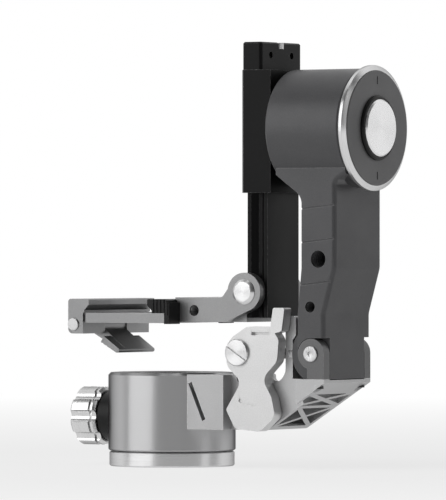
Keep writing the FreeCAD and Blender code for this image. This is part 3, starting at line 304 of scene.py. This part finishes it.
def anodised(name, look):
    span = anodisedRange
    material, tree, shader, place = newMaterial(name)
    grain = useGroup(tree, blastedGrain, Vector=place, Scale=look["grain"])
    touch = useGroup(tree, handling, Vector=place)
    wear = useGroup(tree, edgeWear, Vector=place, Radius=look["edge"])["Mask"]
    speck = spread(tree, grain["Value"], span["speckLow"], span["speckHigh"])
    colour = tint(tree, look["colour"], look["pale"], look["speck"], speck)
    colour = tint(tree, colour, look["pale"], look["scuff"], touch["Scuff"])
    colour = tint(tree, colour, look["worn"], look["wear"], wear)
    feed(tree, colour, shader.inputs["Base Color"])
    shader.inputs["Metallic"].default_value = look["metal"]
    shader.inputs["Specular IOR Level"].default_value = look["shine"]
    rough = spread(tree, touch["Value"], span["smudgeLow"], span["smudgeHigh"],
                   look["rough"] - span["smoother"], look["rough"] + span["rougher"])
    polished = maths(tree, "MULTIPLY", wear, span["polish"])
    feed(tree, maths(tree, "SUBTRACT", rough, polished), shader.inputs["Roughness"])
    addRelief(tree, shader, grain["Height"], look["depth"], span["relief"])
    return material


# Lathe-turned metal; highlights spread across the rings, and rim is the tint at a low angle

turnedRange = {"lineLow": 0.35, "lineHigh": 0.65, "either": 0.05, "smudge": 0.06, "relief": 0.6,
               "quarterTurn": 0.25}
turnedLooks = {
    "satin_grey": {
        "colour": grey(0.5, 0.006), "pale": grey(0.56), "worn": grey(0.85), "rim": grey(0.15), "speck": 0.3,
        "wear": 0.5, "metal": 1.0, "aniso": 0.9, "rough": 0.33, "pitch": 0.16 * mm, "edge": 0.4 * mm,
        "depth": 0.0004 * mm},
    "turned_silver": {
        "colour": grey(0.66, 0.005), "pale": grey(0.82), "worn": grey(0.95), "rim": grey(0.4), "speck": 0.5,
        "wear": 0.4, "metal": 1.0, "aniso": 0.8, "rough": 0.28, "pitch": 0.2 * mm, "edge": 0.3 * mm,
        "depth": 0.002 * mm},
    "knob_silver": {
        "colour": grey(0.66), "pale": grey(0.86), "worn": grey(0.95), "rim": grey(0.3), "speck": 0.5,
        "wear": 0.5, "metal": 1.0, "aniso": 0.6, "rough": 0.24, "pitch": 0.3 * mm, "edge": 0.4 * mm,
        "depth": 0.004 * mm},
    "medallion_silver": {
        "colour": grey(0.88, 0.006), "pale": grey(0.95), "worn": grey(0.97), "rim": grey(0.8), "speck": 0.5,
        "wear": 0.3, "metal": 0.8, "aniso": 0.5, "rough": 0.24, "pitch": 0.18 * mm, "edge": 0.3 * mm,
        "depth": 0.006 * mm},
}
panCentre = (0.0, 0.0, 0.0)
tiltCentre = middle("disc_rim")
# Each turned part's axis, and a point on it
turnedPlaces = {
    "base_plate": ("Z", panCentre), "pan_housing": ("Z", panCentre),
    "disc_rim": ("X", tiltCentre), "medallion": ("X", tiltCentre), "pan_knob": ("X", middle("pan_knob")),
    "lever_pin": ("Y", middle("lever_pin")), "fold_pin": ("Y", middle("fold_pin")),
    "height_knob": ("Y", middle("height_knob")),
}
axisLines = {"X": (1, 0, 0), "Y": (0, 1, 0), "Z": (0, 0, 1)}
axisTurns = {"X": (0, -math.pi / 2, 0), "Y": (math.pi / 2, 0, 0), "Z": (0, 0, 0)}


# Coordinates from the centre, turned so that Z is the turning axis
def spun(tree, fromCentre, axis):
    mapping = addNode(tree, "ShaderNodeMapping", vector_type="POINT")
    feed(tree, fromCentre, mapping.inputs["Vector"])
    mapping.inputs["Rotation"].default_value = axisTurns[axis]
    return mapping.outputs[0]


# Direction along the rings, in world space
def alongRings(tree, fromCentre, axis):
    along = vectorMaths(tree, "CROSS_PRODUCT", axisLines[axis], fromCentre)
    placed = addNode(tree, "ShaderNodeVectorTransform", vector_type="VECTOR", convert_from="OBJECT",
                     convert_to="WORLD")
    feed(tree, along, placed.inputs[0])
    return vectorMaths(tree, "NORMALIZE", placed.outputs[0])


def turned(name, look, axis, centre):
    span = turnedRange
    material, tree, shader, place = newMaterial(name)
    fromCentre = vectorMaths(tree, "SUBTRACT", place, centre)
    rings = useGroup(tree, turnedRings, Vector=spun(tree, fromCentre, axis), Pitch=look["pitch"])
    touch = useGroup(tree, handling, Vector=place)
    wear = useGroup(tree, edgeWear, Vector=place, Radius=look["edge"])["Mask"]
    line = spread(tree, rings["Value"], span["lineLow"], span["lineHigh"])
    colour = tint(tree, look["colour"], look["pale"], look["speck"], line)
    colour = tint(tree, colour, look["worn"], look["wear"], wear)
    feed(tree, colour, shader.inputs["Base Color"])
    shader.inputs["Metallic"].default_value = look["metal"]
    shader.inputs["Specular Tint"].default_value = (*look["rim"], 1)
    shader.inputs["Anisotropic"].default_value = look["aniso"]
    shader.inputs["Anisotropic Rotation"].default_value = span["quarterTurn"]
    feed(tree, alongRings(tree, fromCentre, axis), shader.inputs["Tangent"])
    rough = spread(tree, line, 0.0, 1.0, look["rough"] - span["either"], look["rough"] + span["either"])
    smudge = maths(tree, "MULTIPLY", touch["Value"], span["smudge"])
    feed(tree, maths(tree, "ADD", rough, smudge), shader.inputs["Roughness"])
    addRelief(tree, shader, rings["Height"], look["depth"], span["relief"])
    return material


# Plain machined or oxide-black steel, and bronze, with short streaks

brushedRange = {"lineLow": 0.32, "lineHigh": 0.68, "rougher": 0.1, "relief": 0.4}
brushedLooks = {
    "steel": {
        "colour": grey(0.5, 0.006), "pale": grey(0.68), "worn": grey(0.85), "speck": 0.5, "wear": 0.4,
        "metal": 1.0, "rough": 0.26, "fine": 2400.0, "edge": 0.25 * mm, "depth": 0.01 * mm},
    "black_steel": {
        "colour": grey(0.02), "pale": grey(0.05), "worn": grey(0.35), "speck": 0.5, "wear": 0.4,
        "metal": 0.3, "rough": 0.34, "fine": 2400.0, "edge": 0.2 * mm, "depth": 0.01 * mm},
    "bronze": {
        "colour": (0.42, 0.27, 0.12), "pale": (0.6, 0.42, 0.2), "worn": (0.75, 0.55, 0.3), "speck": 0.5,
        "wear": 0.3, "metal": 1.0, "rough": 0.32, "fine": 1800.0, "edge": 0.25 * mm, "depth": 0.015 * mm},
}


def brushed(name, look):
    span = brushedRange
    material, tree, shader, place = newMaterial(name)
    streak = useGroup(tree, brushedStreaks, Vector=place, Fineness=look["fine"])["Value"]
    wear = useGroup(tree, edgeWear, Vector=place, Radius=look["edge"])["Mask"]
    line = spread(tree, streak, span["lineLow"], span["lineHigh"])
    colour = tint(tree, look["colour"], look["pale"], look["speck"], line)
    colour = tint(tree, colour, look["worn"], look["wear"], wear)
    feed(tree, colour, shader.inputs["Base Color"])
    shader.inputs["Metallic"].default_value = look["metal"]
    rough = spread(tree, line, 0.0, 1.0, look["rough"], look["rough"] + span["rougher"])
    feed(tree, rough, shader.inputs["Roughness"])
    addRelief(tree, shader, streak, look["depth"], span["relief"])
    return material


# Moulded polymer with a fine spark-eroded skin

polymerLook = {"colour": grey(0.03), "pale": grey(0.07), "speck": 0.6, "rough": 0.5, "grain": 3000.0,
               "depth": 0.02 * mm, "skinLow": 0.3, "skinHigh": 0.7, "either": 0.06, "relief": 0.5}


def moulded(name, look):
    material, tree, shader, place = newMaterial(name)
    grain = useGroup(tree, blastedGrain, Vector=place, Scale=look["grain"])
    colour = tint(tree, look["colour"], look["pale"], look["speck"], grain["Value"])
    feed(tree, colour, shader.inputs["Base Color"])
    rough = spread(tree, grain["Value"], look["skinLow"], look["skinHigh"],
                   look["rough"] - look["either"], look["rough"] + look["either"])
    feed(tree, rough, shader.inputs["Roughness"])
    addRelief(tree, shader, grain["Height"], look["depth"], look["relief"])
    return material


finishes = {name: anodised(name, look) for name, look in anodisedLooks.items()}
finishes.update({name: brushed(name, look) for name, look in brushedLooks.items()})
finishes["polymer"] = moulded("polymer", polymerLook)


# Every node wears its record slot's finish; each turned part has one of its own, round its own axis
def dressNodes():
    slotOf = {part["node"]: part["material_slot"] for part in frame["record"]["subparts"]}
    slotOf["lock_lever"] = "lever_bright"
    for name, node in nodes.items():
        slot = slotOf[name]
        if slot in turnedLooks:
            material = turned(slot + "_" + name, turnedLooks[slot], *turnedPlaces[name])
        else:
            material = finishes[slot]
        for holder in node.material_slots:
            holder.material = material
    print("materials on", len(nodes), "nodes")


# Edge breaks; the extruded rail and its clamp are rounder than the milled parts

breakLook = {"plain": 0.22 * mm, "wide": 0.6 * mm, "wideOn": ("height_rail", "rail_clamp", "rail_jaw"),
             "segments": 2, "fromAngle": math.radians(38), "weldWithin": 0.002 * mm, "faceWeight": 80}


def softenEdges():
    look = breakLook
    for name, node in nodes.items():
        weld = node.modifiers.new("weld", "WELD")
        weld.merge_threshold = look["weldWithin"]
        bevel = node.modifiers.new("edgeBreak", "BEVEL")
        bevel.width = look["wide" if name in look["wideOn"] else "plain"]
        bevel.segments = look["segments"]
        bevel.limit_method = "ANGLE"
        bevel.angle_limit = look["fromAngle"]
        bevel.use_clamp_overlap = True
        shade = node.modifiers.new("evenShade", "WEIGHTED_NORMAL")  # keeps the large faces flat in shade
        shade.mode = "FACE_AREA"
        shade.weight = look["faceWeight"]
    print("edges softened")


dressNodes()
softenEdges()


# Threads: a helical ridge inside each threaded hole of the record, coarse at 3/8 inch and fine at 1/4 inch

threadLook = {"coarse": 1.588 * mm, "fine": 1.27 * mm, "coarseFrom": 3.5 * mm, "height": 0.32 * mm,
              "sunk": 0.03 * mm, "lead": 0.7 * mm, "steps": 28, "foot": 0.32, "thinnest": 0.05}
threadPlaces = {"tripod": ("foot", "steel"), "arm": ("arm", "arm_charcoal"),
                "platform": ("platform", "platform_grey")}


# Triangular section, its crest toward the axis; it runs out to nothing over the first and last turn
def makeThread(mount):
    look = threadLook
    body, slot = threadPlaces[mount["name"].split("_")[0]]
    radius = mount["dims"]["r_mm"] * mm - look["sunk"]
    half = mount["dims"]["length_mm"] * mm / 2 - look["lead"]
    pitch = look["coarse" if radius > look["coarseFrom"] else "fine"]
    outward = Vector(mount["axis"])
    side = Vector((1, 0, 0))
    up = outward.cross(side)
    centre = Vector(mount["pos_m"])
    count = int(2 * half / pitch * look["steps"])
    points, faces = [], []
    for index in range(count + 1):
        turn = 2 * math.pi * index / look["steps"]
        along = -half + 2 * half * index / count
        ray = side * math.cos(turn) + up * math.sin(turn)
        taper = min(1.0, index / look["steps"], (count - index) / look["steps"])
        foot = pitch * look["foot"] * max(taper, look["thinnest"])
        for offset, distance in ((-foot, radius), (0, radius - look["height"] * taper), (foot, radius)):
            points.append(centre + ray * distance + outward * (along + offset))
    for index in range(count):
        first = index * 3
        for corner in range(3):
            after = (corner + 1) % 3
            faces.append((first + corner, first + after, first + 3 + after, first + 3 + corner))
    last = count * 3
    faces.extend(((2, 1, 0), (last, last + 1, last + 2)))
    mesh = bpy.data.meshes.new("thread_" + mount["name"])
    mesh.from_pydata(points, [], faces)
    mesh.materials.append(finishes[slot])
    thread = bpy.data.objects.new("thread_" + mount["name"], mesh)
    bpy.context.scene.collection.objects.link(thread)
    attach(thread, body)


for mount in frame["record"]["mounts"]:
    if mount["kind"] == "threaded_hole":
        makeThread(mount)
print("threads made")


# Camera: level, from the front and round toward the arm, drawn in so that the head fills the frame

cameraLook = {"azimuth": 33.0, "distance": 2.78, "eye": 0.1015, "acrossAim": 0.024, "lens": 425.0,
              "sensor": 36.0, "nearest": 0.05}


def makeCamera():
    look = cameraLook
    turn = math.radians(look["azimuth"])
    data = bpy.data.cameras.new("camera")
    data.sensor_fit = "VERTICAL"
    data.sensor_height = look["sensor"]
    data.lens = look["lens"]
    data.clip_start = look["nearest"]
    camera = bpy.data.objects.new("camera", data)
    bpy.context.scene.collection.objects.link(camera)
    side = look["acrossAim"]
    camera.location = (math.sin(turn) * look["distance"] + math.cos(turn) * side,
                       -math.cos(turn) * look["distance"] + math.sin(turn) * side, look["eye"])
    camera.rotation_euler = (math.pi / 2, 0, turn)
    bpy.context.scene.camera = camera


# Floor: a flat paper disc that keeps the shadow near the head and fades into the white background

floorLook = {"rings": (0.3, 0.8, 2.0, 4.5, 9.0), "points": 72, "colour": grey(0.9),
             "rough": 0.9, "shine": 0.1, "fibreScale": 6.0, "fibreDetail": 2.0, "fibreBreak": 0.5,
             "fibreLow": 0.3, "fibreHigh": 0.7, "fibreShade": 0.97,
             "glowNear": 0.72, "fadeStart": 0.2, "fadeEnd": 1.3}


# One for the rays that see the background: camera, glossy and transmission rays
def backgroundRays(tree):
    path = addNode(tree, "ShaderNodeLightPath").outputs
    bent = maths(tree, "MAXIMUM", path["Is Glossy Ray"], path["Is Transmission Ray"])
    return maths(tree, "MAXIMUM", path["Is Camera Ray"], bent)


def floorPaper():
    look = floorLook
    material, tree, shader, place = newMaterial("floorPaper")
    fibre = noise(tree, place, look["fibreScale"], look["fibreDetail"], look["fibreBreak"])
    shade = spread(tree, fibre, look["fibreLow"], look["fibreHigh"], look["fibreShade"], 1.0)
    colour = addNode(tree, "ShaderNodeVectorMath", operation="SCALE")
    colour.inputs[0].default_value = look["colour"]
    feed(tree, shade, colour.inputs["Scale"])
    feed(tree, colour.outputs[0], shader.inputs["Base Color"])
    shader.inputs["Roughness"].default_value = look["rough"]
    shader.inputs["Specular IOR Level"].default_value = look["shine"]
    away = vectorMaths(tree, "LENGTH", place)
    fade = spread(tree, away, look["fadeStart"], look["fadeEnd"], look["glowNear"], 1.0)
    glow = addNode(tree, "ShaderNodeEmission")
    blend = addNode(tree, "ShaderNodeMixShader")
    feed(tree, maths(tree, "MULTIPLY", backgroundRays(tree), fade), blend.inputs[0])
    feed(tree, shader.outputs[0], blend.inputs[1])
    feed(tree, glow.outputs[0], blend.inputs[2])
    feed(tree, blend.outputs[0], tree.nodes["Material Output"].inputs["Surface"])
    return material


def makeFloor():
    look = floorLook
    count = look["points"]
    points = [(0, 0, 0)]
    for radius in look["rings"]:
        for index in range(count):
            turn = 2 * math.pi * index / count
            points.append((radius * math.cos(turn), radius * math.sin(turn), 0))
    faces = [(0, 1 + index, 1 + (index + 1) % count) for index in range(count)]
    for ring in range(len(look["rings"]) - 1):
        inner, outer = 1 + ring * count, 1 + (ring + 1) * count
        for index in range(count):
            after = (index + 1) % count
            faces.append((inner + index, outer + index, outer + after, inner + after))
    mesh = bpy.data.meshes.new("floor")
    mesh.from_pydata(points, [], faces)
    mesh.materials.append(floorPaper())
    floor = bpy.data.objects.new("floor", mesh)
    bpy.context.scene.collection.objects.link(floor)


# World: soft even light. Metal sees a white backdrop behind the head and a dim room elsewhere

worldLook = {"light": 0.22, "backdrop": 1.0, "room": 0.05, "edgeOut": -0.05, "edgeIn": 0.25}


def makeWorld():
    look = worldLook
    world = bpy.data.worlds.new("studio")
    bpy.context.scene.world = world
    world.use_nodes = True
    tree = world.node_tree
    background = tree.nodes["Background"]
    background.inputs["Color"].default_value = (1, 1, 1, 1)
    direction = addNode(tree, "ShaderNodeTexCoord").outputs["Generated"]
    turn = math.radians(cameraLook["azimuth"])
    behind = vectorMaths(tree, "DOT_PRODUCT", direction, (-math.sin(turn), math.cos(turn), 0))
    seen = spread(tree, behind, look["edgeOut"], look["edgeIn"], look["room"], look["backdrop"])
    level = spread(tree, backgroundRays(tree), 0.0, 1.0, look["light"], seen)
    camera = addNode(tree, "ShaderNodeLightPath").outputs["Is Camera Ray"]
    feed(tree, maths(tree, "MAXIMUM", level, camera), background.inputs["Strength"])


# Lamps: a wide softbox on the platform side, a narrow one beside the arm and a small one above

lampLooks = {
    "keyLamp": {"place": (-0.77, -1.51, 0.75), "width": 1.7, "height": 1.4, "power": 15.0},
    "fillLamp": {"place": (1.55, 0.2, 0.6), "width": 0.5, "height": 1.2, "power": 1.8},
    "topLamp": {"place": (0.1, -0.2, 1.7), "width": 0.7, "height": 0.7, "power": 2.6},
}
aim = (0.03, 0.0, 0.1)


def makeLamps():
    for name, look in lampLooks.items():
        data = bpy.data.lights.new(name, "AREA")
        data.shape = "RECTANGLE"
        data.size = look["width"]
        data.size_y = look["height"]
        data.energy = look["power"]
        lamp = bpy.data.objects.new(name, data)
        bpy.context.scene.collection.objects.link(lamp)
        lamp.location = look["place"]
        lamp.visible_camera = False
        x, y, z = [b - a for a, b in zip(look["place"], aim)]
        lamp.rotation_euler = (math.pi / 2 + math.atan2(z, math.hypot(x, y)), 0, math.atan2(-x, y))


makeCamera()
makeFloor()
makeWorld()
makeLamps()
bpy.context.scene.view_settings.view_transform = "Standard"
print("stage, lamps and camera ready")

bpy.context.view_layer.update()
